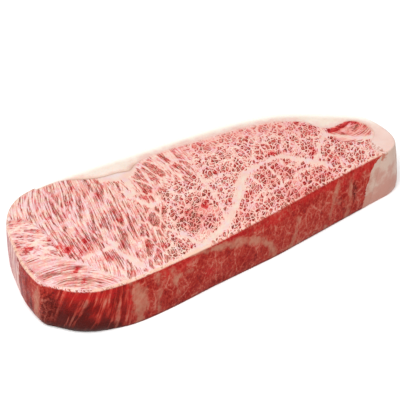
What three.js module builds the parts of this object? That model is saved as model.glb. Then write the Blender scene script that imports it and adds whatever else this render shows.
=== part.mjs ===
// A thick-cut raw striploin steak, lying on its lower cut face.
// It is two pieces that grew together: the lean, a long heavily marbled eye of beef, and the cap of
// back fat, which runs along the far side and wraps the narrow end. Both cut faces are almost flat.
// Millimetres, +Z up. +X runs along the steak to the end that the fat wraps, +Y points at the fat cap,
// and the origin is the middle of the resting face's box.
import * as THREE from "three";

// Driving dimensions
const LENGTH = 250;
const WIDTH = 104;
const THICKNESS = 34;
const FACE_SHIFT = 0.65; // of the cut face towards the broad end, since the narrow end leans out
const FACE_SHIFT_ACROSS = 0.5; // and towards the fat cap, since the near side's foot has slid out

// How the cut edges and walls are rounded
const FAT_GAP = 0.3; // between the lean and the fat cap
const RIM_RADIUS = 1.2; // where the knife's face meets the wall
const FOOT_TUCK = 1.3; // how far the foot draws in under the wall
const BROAD_END_TUCK = 1.6; // what the broad end's foot draws in beyond that
const NARROW_END_FLARE = 2.2; // how far the wall leans out towards its foot at the narrow end
const NARROW_END_SLIDE = 2.2; // how far the foot has slid there towards the near side
const BROAD_HALF_SLIDE = 1.4; // and how far on the broad half, where the foot is nearly square too
const FOOT_HEIGHT = 7;
const WALL_BOW = 0.6; // how far the middle of a wall stands proud of its rim
const RELIEF = 0.9; // between the high and low places of the upper face
const TIP_THICKNESS = 1; // of the fat cap where it runs out on the broad end
const SEAM_SLANT = 12.5; // how far the fat cap's edge on the near wall leans under the lean
const FOOT_REACH = 12; // how thick the fat is where the seam stops following the foot
const RIM_REACH = 3.5; // and where it stops following the rim

// How finely the faces are divided
const NEAR_SEGMENTS = 58; // along the lean
const CROSS_SEGMENTS = 12; // across the lean
const BARE_BACK_SEGMENTS = 6; // along the far side that has no fat cap
const CAP_SEGMENTS = 4; // across the fat cap
const LEAN_PASSES = 40; // of evening out the upper face's facets
const CAP_PASSES = 0; // the cap is a narrow bent strip, which evening out would fold

// The steak's outline, seen from above and running anticlockwise from the broad end's near corner,
// in hundredths of half the length and half the width.
const OUTLINE = [
  [-100.7, -36.5], [-99.9, -46.2], [-96.9, -56], [-90.2, -75.5], [-84.3, -86], [-79, -91.5],
  [-64, -98], [-41.6, -100], [-17.6, -100],
  [16, -95.6], [51, -88.5], [80, -84.2], [91.2, -81.9], [96.8, -75], [99.7, -61.5], [100, -38.5],
  [97.4, -14], [90.4, 5], [80.6, 24], [68.6, 46], [55, 61.5], [36, 73], [8, 83.5],
  [-24, 92.3], [-49.6, 99.2], [-68.8, 100], [-78.4, 95.2], [-86.4, 81.7], [-93.6, 55.8], [-97.8, 23],
  [-99.6, 5], [-100.6, -11.5],
];

// The seam between lean and fat on the upper face, from the near wall round the little end muscle,
// in past the notch beside it, along the far side with its dip, and out at the broad end.
const SEAM = [
  [85.6, -83.4], [84.6, -72], [87, -58], [93, -46], [94.6, -30], [92, -15], [87.5, -8], [80.5, -8],
  [76, -5.5], [73.4, 0.5], [72, 8], [70, 19], [63, 34], [55, 45], [40, 55], [20, 63], [0, 70.5], [-12, 72],
  [-19, 69], [-23.6, 63.5], [-29, 67.5], [-38, 72], [-46, 82], [-53, 91], [-60, 95], [-68, 98],
];

const NEAR_LEFT_CORNER = [-95, -68];
const FAR_LEFT_CORNER = [-84, 87];
const NEAR_RIGHT_CORNER = [97, -74];

// A place given in hundredths of the half sizes, in millimetres.
function place([along, across]) {
  const [x, y] = [(along / 100) * (LENGTH / 2), (across / 100) * (WIDTH / 2)];
  return new THREE.Vector3(x - FACE_SHIFT, y + FACE_SHIFT_ACROSS, 0);
}

function smoothCurve(points, closed) {
  const curve = new THREE.CatmullRomCurve3(points.map(place), closed, "centripetal");
  curve.arcLengthDivisions = 1200;
  return curve;
}

const outline = smoothCurve(OUTLINE, true);
const seam = smoothCurve(SEAM, false);

const smoothstep = THREE.MathUtils.smoothstep;
const lerp = THREE.MathUtils.lerp;

// Places all along the outline, which the nearest one is picked from.
const OUTLINE_TRIES = 2400;
const outlinePlaces = outline.getSpacedPoints(OUTLINE_TRIES);

// The share of the outline's length at which it passes nearest to a point.
function shareNear(point) {
  const gaps = outlinePlaces.map((p) => p.distanceToSquared(point));
  return (gaps.indexOf(Math.min(...gaps)) % OUTLINE_TRIES) / OUTLINE_TRIES;
}

// The upper face's height: low swells that a long knife leaves in soft meat.
function faceHeight(x, y) {
  const swell = Math.sin(x / 31 + 0.6) * Math.cos(y / 23 - 0.4);
  const ripple = Math.sin(x / 12 + y / 17);
  return THICKNESS - (RELIEF / 2) * (1 + 0.7 * swell + 0.3 * ripple);
}

// 0 on the broad half and 1 at the narrow end.
function narrowness(x) {
  return smoothstep(x, -LENGTH / 8, LENGTH / 4);
}

// 1 on the broad half past its rounded end, half of that in the middle, and 0 at both ends.
function broadness(x) {
  return smoothstep(x, -104, -80) * (1 - 0.5 * smoothstep(x, -62, -25) - 0.5 * smoothstep(x, 12, 45));
}

// How far the foot draws the wall in at a height, from 0 at the foot to 1 at the rim: a quarter ellipse,
// with a little bow over the whole wall. At the narrow end the wall leans out.
function footInset(height, x) {
  const broadEnd = BROAD_END_TUCK * (1 - smoothstep(x, -LENGTH / 2, -LENGTH / 4));
  const tuck = FOOT_TUCK * (1 - 0.8 * broadness(x)) + broadEnd;
  const intoFoot = Math.max(0, 1 - (height * THICKNESS) / FOOT_HEIGHT);
  const foot = tuck * (1 - Math.sqrt(1 - intoFoot ** 2));
  return foot + WALL_BOW * (2 * height - 1) ** 2 - NARROW_END_FLARE * (1 - height) * narrowness(x);
}

// How far the lower layers have slid towards the near side.
function slide(height, x) {
  return (NARROW_END_SLIDE * narrowness(x) + BROAD_HALF_SLIDE * broadness(x)) * (1 - height);
}

// How far the rounded rim draws the wall in.
function rimInset(height) {
  const intoRim = Math.max(0, 1 - ((1 - height) * THICKNESS) / RIM_RADIUS);
  return RIM_RADIUS * (1 - Math.sqrt(1 - intoRim ** 2));
}

// Heights of the wall's rings, closer together round the foot and the rim.
function ringHeights() {
  const foot = [0, 0.3, 0.6, 1].map((turn) => (FOOT_HEIGHT * (1 - Math.cos((turn * Math.PI) / 2))) / THICKNESS);
  const middle = [0.35, 0.6, 0.82];
  const rim = [0, 0.6, 1].map((turn) => 1 - (RIM_RADIUS * (1 - Math.sin((turn * Math.PI) / 2))) / THICKNESS);
  return [...foot, ...middle, ...rim];
}

// A point of the wall at a share of the outline's length.
function wallPoint(share, height) {
  const wrapped = share - Math.floor(share);
  const point = outline.getPointAt(wrapped);
  const tangent = outline.getTangentAt(wrapped);
  const inset = footInset(height, point.x) + rimInset(height);
  const [x, y] = [point.x - tangent.y * inset, point.y + tangent.x * inset];
  return new THREE.Vector3(x, y - slide(height, point.x), height);
}

// The wall between two shares of the outline's length, as a list of points.
function wallStretch(from, to, segments, height) {
  const points = [];
  for (let i = 0; i <= segments; i += 1) {
    points.push(wallPoint(lerp(from, to, i / segments), height));
  }
  return points;
}

const nearLeft = shareNear(place(NEAR_LEFT_CORNER));
const farLeft = shareNear(place(FAR_LEFT_CORNER));
const nearRight = shareNear(place(NEAR_RIGHT_CORNER));
const seamTip = shareNear(place(SEAM[SEAM.length - 1]));
const seamRim = shareNear(place(SEAM[0]));
const nearWall = outline.getTangentAt(seamRim);
const seamFoot = seamRim - SEAM_SLANT / outline.getLength();

// Where the seam comes out on the near wall, which is further under the lean at the foot.
function seamShare(height) {
  return lerp(seamFoot, seamRim, height);
}

// The seam's places at mid height, each with its own direction and the wall it is nearest to.
const SEAM_SEGMENTS = NEAR_SEGMENTS - BARE_BACK_SEGMENTS + CROSS_SEGMENTS;
const seamPlaces = [...Array(SEAM_SEGMENTS + 1).keys()].map((i) => {
  const point = seam.getPointAt(i / SEAM_SEGMENTS);
  const tangent = seam.getTangentAt(i / SEAM_SEGMENTS);
  const share = shareNear(point);
  const depth = outline.getPointAt(share).distanceTo(point);
  const along = outline.getTangentAt(share);
  return { point, tangent, depth, inward: new THREE.Vector3(-along.y, along.x, 0) };
});

// The seam at one height. Where the fat is thin it draws in as the wall beside it does, and near the near
// wall it leans under the lean. A side of 1 moves it half the gap towards the fat, and -1 towards the lean.
function seamLine(height, side) {
  return seamPlaces.map(({ point, tangent, depth, inward }) => {
    const follow =
      footInset(height, point.x) * (1 - smoothstep(depth, TIP_THICKNESS, FOOT_REACH)) +
      rimInset(height) * (1 - smoothstep(depth, TIP_THICKNESS, RIM_REACH));
    const slant = 1 - smoothstep(point.y, -0.84 * (WIDTH / 2), -0.3 * (WIDTH / 2));
    const half = (side * FAT_GAP) / 2;
    const back = SEAM_SLANT * (1 - height) * slant;
    return new THREE.Vector3(
      point.x + inward.x * follow - nearWall.x * back + tangent.y * half,
      point.y + inward.y * follow - nearWall.y * back - tangent.x * half - slide(height, point.x),
      height,
    );
  });
}

// The four sides of the lean at one height: near, right, far and left, running anticlockwise.
function leanSides(height) {
  const line = seamLine(height, -1);
  const bare = wallStretch(seamTip, farLeft, BARE_BACK_SEGMENTS, height);
  const near = wallStretch(nearLeft, seamShare(height), NEAR_SEGMENTS, height);
  near[near.length - 1] = line[0];
  return [
    near,
    line.slice(0, CROSS_SEGMENTS + 1),
    [...line.slice(CROSS_SEGMENTS), ...bare.slice(1)],
    wallStretch(farLeft, nearLeft + 1, CROSS_SEGMENTS, height),
  ];
}

// The four sides of the fat cap at one height: the near wall's stretch, the outer wall, the tip and the seam.
function capSides(height) {
  const line = seamLine(height, 1);
  const start = wallStretch(seamShare(height), nearRight, CAP_SEGMENTS, height);
  start[0] = line[0];
  const outer = wallStretch(nearRight, seamTip, line.length - 1, height);
  const tipFrom = outer[outer.length - 1];
  const tipTo = line[line.length - 1];
  const tip = [];
  for (let i = 0; i <= CAP_SEGMENTS; i += 1) {
    tip.push(tipFrom.clone().lerp(tipTo, i / CAP_SEGMENTS));
  }
  return [start, outer, tip, line.reverse()];
}

// A Coons patch over four sides: each inner point is where the lines between opposite sides meet,
// less what the corners count twice. It returns rows of points.
function coonsPatch([first, second, third, fourth]) {
  const columns = first.length - 1;
  const rows = second.length - 1;
  const grid = [];
  for (let j = 0; j <= rows; j += 1) {
    const v = j / rows;
    const row = [];
    for (let i = 0; i <= columns; i += 1) {
      const u = i / columns;
      const point = new THREE.Vector3()
        .addScaledVector(first[i], 1 - v)
        .addScaledVector(third[columns - i], v)
        .addScaledVector(fourth[rows - j], 1 - u)
        .addScaledVector(second[j], u)
        .addScaledVector(first[0], -(1 - u) * (1 - v))
        .addScaledVector(first[columns], -u * (1 - v))
        .addScaledVector(third[columns], -(1 - u) * v)
        .addScaledVector(third[0], -u * v);
      row.push(point);
    }
    grid.push(row);
  }
  return grid;
}

// Moves each inner point towards the middle of its neighbours, which spreads the facets evenly.
function relaxed(grid, passes) {
  for (let pass = 0; pass < passes; pass += 1) {
    for (let j = 1; j < grid.length - 1; j += 1) {
      for (let i = 1; i < grid[0].length - 1; i += 1) {
        const [left, right, below, above] = [grid[j][i - 1], grid[j][i + 1], grid[j - 1][i], grid[j + 1][i]];
        grid[j][i].copy(left).add(right).add(below).add(above).divideScalar(4);
      }
    }
  }
  return grid;
}

// Whether a four-cornered facet is better split from its second corner to its fourth.
function splitsAcross([a, b, c, d]) {
  const area = (p, q, r) => (q.x - p.x) * (r.y - p.y) - (q.y - p.y) * (r.x - p.x);
  return Math.min(area(a, b, d), area(b, c, d)) > Math.min(area(a, b, c), area(a, c, d));
}

// A closed slab: rings of wall, a patch on top and a flat face below. The two pieces' walls are divided
// as mirror images, so that their facets lie side by side along the seam.
function slab(sidesAt, mirrored, passes) {
  const positions = [];
  const index = [];
  const put = (x, y, z) => positions.push(x, y, z) / 3 - 1;
  const loopOf = (sides) => sides.flatMap((side) => side.slice(0, -1));

  const rings = ringHeights().map((height) =>
    loopOf(sidesAt(height)).map((p) => put(p.x, p.y, height * faceHeight(p.x, p.y))),
  );
  const around = rings[0].length;
  for (let ring = 0; ring < rings.length - 1; ring += 1) {
    for (let i = 0; i < around; i += 1) {
      const next = (i + 1) % around;
      const [a, b] = [rings[ring][i], rings[ring][next]];
      const [c, d] = [rings[ring + 1][next], rings[ring + 1][i]];
      index.push(...(mirrored ? [a, b, d, b, c, d] : [a, b, c, a, c, d]));
    }
  }

  const rim = rings[rings.length - 1];
  const patch = relaxed(coonsPatch(sidesAt(1)), passes);
  const rows = patch.length - 1;
  const columns = patch[0].length - 1;
  const rimAt = (i, j) => {
    if (j === 0) return rim[i];
    if (i === columns) return rim[columns + j];
    if (j === rows) return rim[columns + rows + (columns - i)];
    return i === 0 ? rim[(2 * columns + rows + (rows - j)) % around] : -1;
  };
  const top = patch.map((row, j) =>
    row.map((p, i) => {
      const onRim = rimAt(i, j);
      return onRim >= 0 ? onRim : put(p.x, p.y, faceHeight(p.x, p.y));
    }),
  );
  for (let j = 0; j < rows; j += 1) {
    for (let i = 0; i < columns; i += 1) {
      const [a, b, c, d] = [top[j][i], top[j][i + 1], top[j + 1][i + 1], top[j + 1][i]];
      const corners = [patch[j][i], patch[j][i + 1], patch[j + 1][i + 1], patch[j + 1][i]];
      index.push(...(splitsAcross(corners) ? [a, b, d, b, c, d] : [a, b, c, a, c, d]));
    }
  }

  const foot = loopOf(sidesAt(0)).map((p) => new THREE.Vector2(p.x, p.y));
  for (const [a, b, c] of THREE.ShapeUtils.triangulateShape(foot, [])) {
    index.push(rings[0][a], rings[0][c], rings[0][b]);
  }

  const geometry = new THREE.BufferGeometry();
  geometry.setAttribute("position", new THREE.Float32BufferAttribute(positions, 3));
  geometry.setIndex(index);
  geometry.computeVertexNormals();
  return geometry;
}

function named(name, geometry, material) {
  const mesh = new THREE.Mesh(geometry, material);
  mesh.name = name;
  return mesh;
}

const moistLean = new THREE.MeshStandardMaterial({ color: 0xcf5e5e, roughness: 0.42, metalness: 0 });
const whiteFat = new THREE.MeshStandardMaterial({ color: 0xf2deca, roughness: 0.5, metalness: 0 });

const steak = new THREE.Group();
steak.add(named("lean", slab(leanSides, false, LEAN_PASSES), moistLean));
steak.add(named("fat_cap", slab(capSides, true, CAP_PASSES), whiteFat));

export default steak;
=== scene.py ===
# %% [markdown]
# A raw striploin steak, in cells
#
# The real thing is a slab sawn straight across the loin of a well-fed animal. It has a long eye
# of lean, streaked with hair-fine fat, and a cap of firm white back fat on one side. A slab like
# this could be carved by hand in sculpt mode, but then its outline would be a guess. Here every
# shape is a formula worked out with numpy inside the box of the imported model, so each number can
# be read, changed and checked. All lengths are millimetres until a mesh is made, and metres from
# then on.

import bpy
import numpy as np
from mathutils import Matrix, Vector


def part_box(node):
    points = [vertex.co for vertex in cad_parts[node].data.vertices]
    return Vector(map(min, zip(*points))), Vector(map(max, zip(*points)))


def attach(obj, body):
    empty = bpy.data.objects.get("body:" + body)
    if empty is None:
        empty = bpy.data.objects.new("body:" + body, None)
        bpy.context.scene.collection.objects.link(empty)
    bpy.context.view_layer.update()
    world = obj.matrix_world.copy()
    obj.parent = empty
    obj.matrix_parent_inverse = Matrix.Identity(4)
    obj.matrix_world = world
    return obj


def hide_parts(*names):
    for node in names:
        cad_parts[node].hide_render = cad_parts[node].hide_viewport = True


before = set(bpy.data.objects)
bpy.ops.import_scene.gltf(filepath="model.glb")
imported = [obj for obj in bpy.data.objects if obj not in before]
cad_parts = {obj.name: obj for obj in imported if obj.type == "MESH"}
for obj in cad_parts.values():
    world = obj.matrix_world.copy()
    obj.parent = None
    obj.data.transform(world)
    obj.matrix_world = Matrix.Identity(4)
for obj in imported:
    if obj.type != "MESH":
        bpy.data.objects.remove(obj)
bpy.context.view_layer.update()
print("packed nodes:", sorted(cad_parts))

# %% [markdown]
# The camera
#
# The photograph was taken with a long lens from above the near side, so the slab's long edges
# stay almost parallel. The camera comes first, because each look at the work is judged through
# it. It is put on a line from the middle of the slab, at the photograph's compass angle and
# height angle, which is easier to reason about than typing in a place and a rotation.

# %% Camera
MM = 0.001
AIM = Vector((-11.57, -15.15, 34.0)) * MM
CAMERA_TURN = np.radians(-35.0)
CAMERA_RISE = np.radians(40.0)
CAMERA_DISTANCE = 885.07 * MM

lens = bpy.data.cameras.new("studio camera")
lens.lens = 135
lens.sensor_width = 36
lens.clip_end = 50
camera = bpy.data.objects.new("studio camera", lens)
bpy.context.scene.collection.objects.link(camera)
back = Vector((
    np.sin(CAMERA_TURN) * np.cos(CAMERA_RISE),
    -np.cos(CAMERA_TURN) * np.cos(CAMERA_RISE),
    np.sin(CAMERA_RISE),
))
camera.location = AIM + back * CAMERA_DISTANCE
camera.rotation_euler = back.to_track_quat("Z", "Y").to_euler()
bpy.context.scene.camera = camera
print("camera at", [round(v, 3) for v in camera.location])

# %% [markdown]
# The outline and the seam
#
# Two curves draw the whole steak: the outline of the slab seen from above, and the seam where the
# lean meets the back fat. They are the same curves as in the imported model, a few named points
# each with a smooth curve through them, so the looks stay on the solids. A Catmull-Rom curve goes
# through its points. The centripetal kind does so without loops where points crowd together, as
# at the notch.

# %% Sizes and the two curves' points
LENGTH = 250.0
WIDTH = 104.0
THICKNESS = 34.0
FACE_SHIFT = (-0.65, 0.5)  # of the cut face, against the leaning walls

OUTLINE = [
    [-100.7, -36.5], [-99.9, -46.2], [-96.9, -56], [-90.2, -75.5], [-84.3, -86], [-79, -91.5],
    [-64, -98], [-41.6, -100], [-17.6, -100],
    [16, -95.6], [51, -88.5], [80, -84.2], [91.2, -81.9], [96.8, -75], [99.7, -61.5], [100, -38.5],
    [97.4, -14], [90.4, 5], [80.6, 24], [68.6, 46], [55, 61.5], [36, 73], [8, 83.5],
    [-24, 92.3], [-49.6, 99.2], [-68.8, 100], [-78.4, 95.2], [-86.4, 81.7], [-93.6, 55.8],
    [-97.8, 23], [-99.6, 5], [-100.6, -11.5],
]
SEAM = [
    [85.6, -83.4], [84.6, -72], [87, -58], [93, -46], [94.6, -30], [92, -15], [87.5, -8],
    [80.5, -8], [76, -5.5], [73.4, 0.5], [72, 8], [70, 19], [63, 34], [55, 45], [40, 55], [20, 63],
    [0, 70.5], [-12, 72], [-19, 69], [-23.6, 63.5], [-29, 67.5], [-38, 72], [-46, 82], [-53, 91],
    [-60, 95], [-68, 98],
]


def placed(points):
    """Hundredths of half the length and half the width, turned into millimetres."""
    return np.array(points) * [LENGTH / 200, WIDTH / 200] + FACE_SHIFT


# %% A smooth curve through points
def smooth_curve(points, closed=False, steps=60):
    """Centripetal Catmull-Rom. Each stretch is a cubic between two points. Its leaving and arriving
    directions come from the neighbours, weighted by the square roots of the gaps between them."""
    points = np.asarray(points, float)
    if closed:
        ring = np.concatenate([points[-1:], points, points[:2]])
    else:
        ahead, behind = 2 * points[:1] - points[1:2], 2 * points[-1:] - points[-2:-1]
        ring = np.concatenate([ahead, points, behind])
    before, start, end, after = ring[:-3], ring[1:-2], ring[2:-1], ring[3:]
    root = lambda a, b: np.sqrt(np.hypot(*(b - a)[:, :2].T))[:, None]
    g0, g1, g2 = root(before, start), root(start, end), root(end, after)
    leave = ((start - before) / g0 - (end - before) / (g0 + g1) + (end - start) / g1) * g1
    arrive = ((end - start) / g1 - (after - start) / (g1 + g2) + (after - end) / g2) * g1
    t = np.linspace(0, 1, steps, endpoint=False)[:, None, None]
    line = start + leave * t + (3 * (end - start) - 2 * leave - arrive) * t**2
    line = line + (2 * (start - end) + leave + arrive) * t**3
    return np.concatenate([line.swapaxes(0, 1).reshape(-1, points.shape[1]), end[-1:]])


class Path:
    """A line that can be asked for its place and direction at any share of its length."""

    def __init__(self, line):
        self.line = line
        gaps = np.hypot(*np.diff(line, axis=0).T)
        self.reach = np.concatenate([[0], np.cumsum(gaps)])
        self.length = self.reach[-1]
        self.directions = np.gradient(line, self.reach, axis=0)

    def _at(self, values, shares):
        reach = np.asarray(shares) * self.length
        return np.stack([np.interp(reach, self.reach, column) for column in values.T], axis=-1)

    def place(self, shares):
        return self._at(self.line, shares)

    def direction(self, shares):
        way = self._at(self.directions, shares)
        return way / np.linalg.norm(way, axis=-1, keepdims=True)

    def nearest(self, points):
        """The share of the length at which the line passes nearest to each point."""
        gaps = np.hypot(*(points[:, None, :] - self.line[None]).transpose(2, 0, 1))
        return self.reach[gaps.argmin(axis=1)] / self.length


outline = Path(smooth_curve(placed(OUTLINE), closed=True))
seam = Path(smooth_curve(placed(SEAM)))
print(f"outline {outline.length:.1f} mm round, seam {seam.length:.1f} mm long")

# %% [markdown]
# The walls
#
# A saw leaves the sides of a slab upright, but soft meat settles: its foot tucks under, the
# middle of a wall bows out a little, and the cut edge is softly rounded. A Bevel modifier would
# round every edge alike. Writing the wall's profile as a function of height lets the broad end
# tuck in, the narrow end lean out and the lower layers slide towards the near side, as they do on
# the real steak.

# %% Wall profile
RIM_RADIUS = 1.2
FOOT_TUCK = 1.3
BROAD_END_TUCK = 1.6
NARROW_END_FLARE = 2.2
NARROW_END_SLIDE = 2.2
BROAD_HALF_SLIDE = 1.4
BROAD_HALF_FIRMNESS = 0.8  # the share of the foot's tuck that is missing there
FOOT_HEIGHT = 7.0
WALL_BOW = 0.6


def smoothstep(value, low, high):
    """0 below low and 1 above high, with the S-shaped 3 t^2 - 2 t^3 between."""
    t = np.clip((value - low) / (high - low), 0, 1)
    return t * t * (3 - 2 * t)


def fall(value, low, high):
    """1 below low and 0 above high."""
    return 1 - smoothstep(value, low, high)


def narrowness(x):
    """0 up to an eighth of the length before the middle, 1 from a quarter of it past the middle."""
    return smoothstep(x, -LENGTH / 8, LENGTH / 4)


def broadness(x):
    """1 on the broad half past its rounded end, half of that in the middle, 0 at both ends."""
    middle, narrow = smoothstep(x, -62, -25), smoothstep(x, 12, 45)
    return smoothstep(x, -104, -80) * (1 - 0.5 * middle - 0.5 * narrow)


def foot_inset(height, x):
    """A quarter ellipse at the foot, a parabola's bow over the whole wall, and a lean outwards."""
    broad_end = BROAD_END_TUCK * fall(x, -LENGTH / 2, -LENGTH / 4)
    tuck = FOOT_TUCK * (1 - BROAD_HALF_FIRMNESS * broadness(x)) + broad_end
    into_foot = np.maximum(0, 1 - height * THICKNESS / FOOT_HEIGHT)
    foot = tuck * (1 - np.sqrt(1 - into_foot**2))
    return foot + WALL_BOW * (2 * height - 1) ** 2 - NARROW_END_FLARE * (1 - height) * narrowness(x)


def rim_inset(height):
    """A quarter circle at the rim."""
    into_rim = np.maximum(0, 1 - (1 - height) * THICKNESS / RIM_RADIUS)
    return RIM_RADIUS * (1 - np.sqrt(1 - into_rim**2))


def slide(height, x):
    """How far the lower layers have slid towards the near side."""
    return (NARROW_END_SLIDE * narrowness(x) + BROAD_HALF_SLIDE * broadness(x)) * (1 - height)


def wall(shares, height):
    """The outline's place, moved inwards by the profile and then sideways by the slide."""
    shares = np.asarray(shares) % 1.0
    point, way = outline.place(shares), outline.direction(shares)
    inset = (foot_inset(height, point[:, 0]) + rim_inset(height))[:, None]
    moved = point + np.stack([-way[:, 1], way[:, 0]], axis=1) * inset
    moved[:, 1] -= slide(height, point[:, 0])
    return moved


insets = [round(float(foot_inset(height, -100.0) + rim_inset(height)), 2) for height in (0, 0.5, 1)]
print("wall inset at foot, middle and rim:", insets)

# %% [markdown]
# How the seam runs down through the slab
#
# Lean and fat grew together, so each piece has a wall of its own along the seam, a hair's breadth
# apart. The seam leans under the lean where it comes out on the near wall. Where the fat is thin
# it follows the rounded rim and foot beside it, so that the strip of fat never turns inside out.

# %% Seam at one height
SEAM_GAP = 0.05
TIP_THICKNESS = 1.0
SEAM_SLANT = 12.5
FOOT_REACH = 12.0
RIM_REACH = 3.5

corner_near_left, corner_far_left, corner_near_right, seam_tip, seam_rim = outline.nearest(
    placed([[-95, -68], [-84, 87], [97, -74], SEAM[-1], SEAM[0]])
)
near_way = outline.direction([seam_rim])[0]


def seam_share(height):
    """Where on the near wall the seam comes out: further under the lean towards the foot."""
    return seam_rim - (1 - height) * SEAM_SLANT / outline.length


def seam_line(shares, height, side):
    """The seam's place, plus what the nearest wall is inset where the fat is thin, less the slant
    near the near wall, and half the gap to one side."""
    point, way = seam.place(shares), seam.direction(shares)
    beside = outline.nearest(point)
    depth = np.hypot(*(outline.place(beside) - point).T)
    along = outline.direction(beside)
    follow = foot_inset(height, point[:, 0]) * fall(depth, TIP_THICKNESS, FOOT_REACH)
    follow = follow + rim_inset(height) * fall(depth, TIP_THICKNESS, RIM_REACH)
    slant = fall(point[:, 1], -0.42 * WIDTH, -0.15 * WIDTH)
    moved = point + np.stack([-along[:, 1], along[:, 0]], axis=1) * follow[:, None]
    moved -= near_way * (SEAM_SLANT * (1 - height) * slant)[:, None]
    moved += np.stack([way[:, 1], -way[:, 0]], axis=1) * side * SEAM_GAP / 2
    moved[:, 1] -= slide(height, point[:, 0])
    return moved


# %% The sides of both pieces
NEAR_STEPS = 290
CROSS_STEPS = 110
BARE_STEPS = 30
CAP_STEPS = 12
SEAM_SPLIT = 0.1875  # the share of the seam that is the lean's narrow end

seam_shares = np.concatenate([
    np.linspace(0, SEAM_SPLIT, CROSS_STEPS + 1),
    np.linspace(SEAM_SPLIT, 1, NEAR_STEPS - BARE_STEPS + 1)[1:],
])


def lean_sides(height):
    """Near, narrow-end, far and broad-end side of the lean, anticlockwise."""
    line = seam_line(seam_shares, height, -1)
    near = wall(np.linspace(corner_near_left, seam_share(height), NEAR_STEPS + 1), height)
    near[-1] = line[0]
    bare = wall(np.linspace(seam_tip, corner_far_left, BARE_STEPS + 1), height)
    broad = wall(np.linspace(corner_far_left, corner_near_left + 1, CROSS_STEPS + 1), height)
    return [near, line[: CROSS_STEPS + 1], np.concatenate([line[CROSS_STEPS:], bare[1:]]), broad]


def cap_sides(height):
    """Near-wall stretch, outer wall, thin tip and seam side of the back fat, anticlockwise."""
    line = seam_line(seam_shares, height, 1)
    start = wall(np.linspace(seam_share(height), corner_near_right, CAP_STEPS + 1), height)
    start[0] = line[0]
    outer = wall(np.linspace(corner_near_right, seam_tip, len(line)), height)
    tip = outer[-1] + (line[-1] - outer[-1]) * np.linspace(0, 1, CAP_STEPS + 1)[:, None]
    return [start, outer, tip, line[::-1]]


def count_round(sides):
    return sum(len(side) - 1 for side in sides)


counts = count_round(lean_sides(1.0)), count_round(cap_sides(1.0))
print("points round the lean and round the fat:", counts)

# %% [markdown]
# The cut faces
#
# Both cut faces need a fine even grid, because the fat seams are laid on its points. Filling the
# outline with Blender's grid fill gives long thin faces. A Coons patch blends the four sides into
# a grid, but where the border is hollow its squares fold over each other. Letting each point
# drift to a weighted mean of its neighbours spreads the squares evenly, and the right weights
# unfold them too.

# %% Patch over four sides
def coons(sides):
    """Lines between opposite sides, added up, less what the four corners count twice."""
    first, second, third, fourth = sides
    u = np.linspace(0, 1, len(first))[None, :, None]
    v = np.linspace(0, 1, len(second))[:, None, None]
    across = first[None] * (1 - v) + third[::-1][None] * v
    along = fourth[::-1][:, None] * (1 - u) + second[:, None] * u
    near_corners = (first[0] * (1 - u) + first[-1] * u) * (1 - v)
    far_corners = (third[0] * u + third[-1] * (1 - u)) * v
    return across + along - near_corners - far_corners


def evened(grid, passes):
    """Each inner point goes to a mean of its neighbours, again and again. Those along the grid
    weigh as much as the square of the grid's step across it, and the other way round, and the four
    diagonal ones make up for the skew. Such a grid doesn't fold where its border is hollow."""
    grid = grid.copy()
    for _ in range(passes):
        left, right, low, high = grid[1:-1, :-2], grid[1:-1, 2:], grid[:-2, 1:-1], grid[2:, 1:-1]
        along, across = (right - left) / 2, (high - low) / 2
        a = (across**2).sum(axis=-1, keepdims=True) + 1e-9
        b = (along * across).sum(axis=-1, keepdims=True)
        c = (along**2).sum(axis=-1, keepdims=True) + 1e-9
        diagonal = grid[2:, 2:] - grid[2:, :-2] - grid[:-2, 2:] + grid[:-2, :-2]
        total = a * (left + right) + c * (low + high) - b * diagonal / 2
        grid[1:-1, 1:-1] = total / (2 * (a + c))
    return grid


def smallest_square(grid):
    """The least area of the grid's squares, from the cross product of their diagonals."""
    a, b = grid[1:, 1:] - grid[:-1, :-1], grid[1:, :-1] - grid[:-1, 1:]
    return float((a[..., 0] * b[..., 1] - a[..., 1] * b[..., 0]).min() / 2)


EVENING_PASSES = 1500
lean_patches = [evened(coons(lean_sides(height)), EVENING_PASSES) for height in (0.0, 1.0)]
cap_patches = [evened(coons(cap_sides(height)), EVENING_PASSES) for height in (0.0, 1.0)]
least = [round(smallest_square(grid), 3) for grid in lean_patches + cap_patches]
print("smallest squares in mm2:", least)

# %% [markdown]
# The marbling, drawn once as lines
#
# Thick seams of fat part the muscles. Each is drawn as a line with a width at every point, and
# what the mesh stores is only the distance to the nearest one. That could be painted as an image,
# but a distance stays sharp at any zoom, and the same number can also raise the surface a little.

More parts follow.
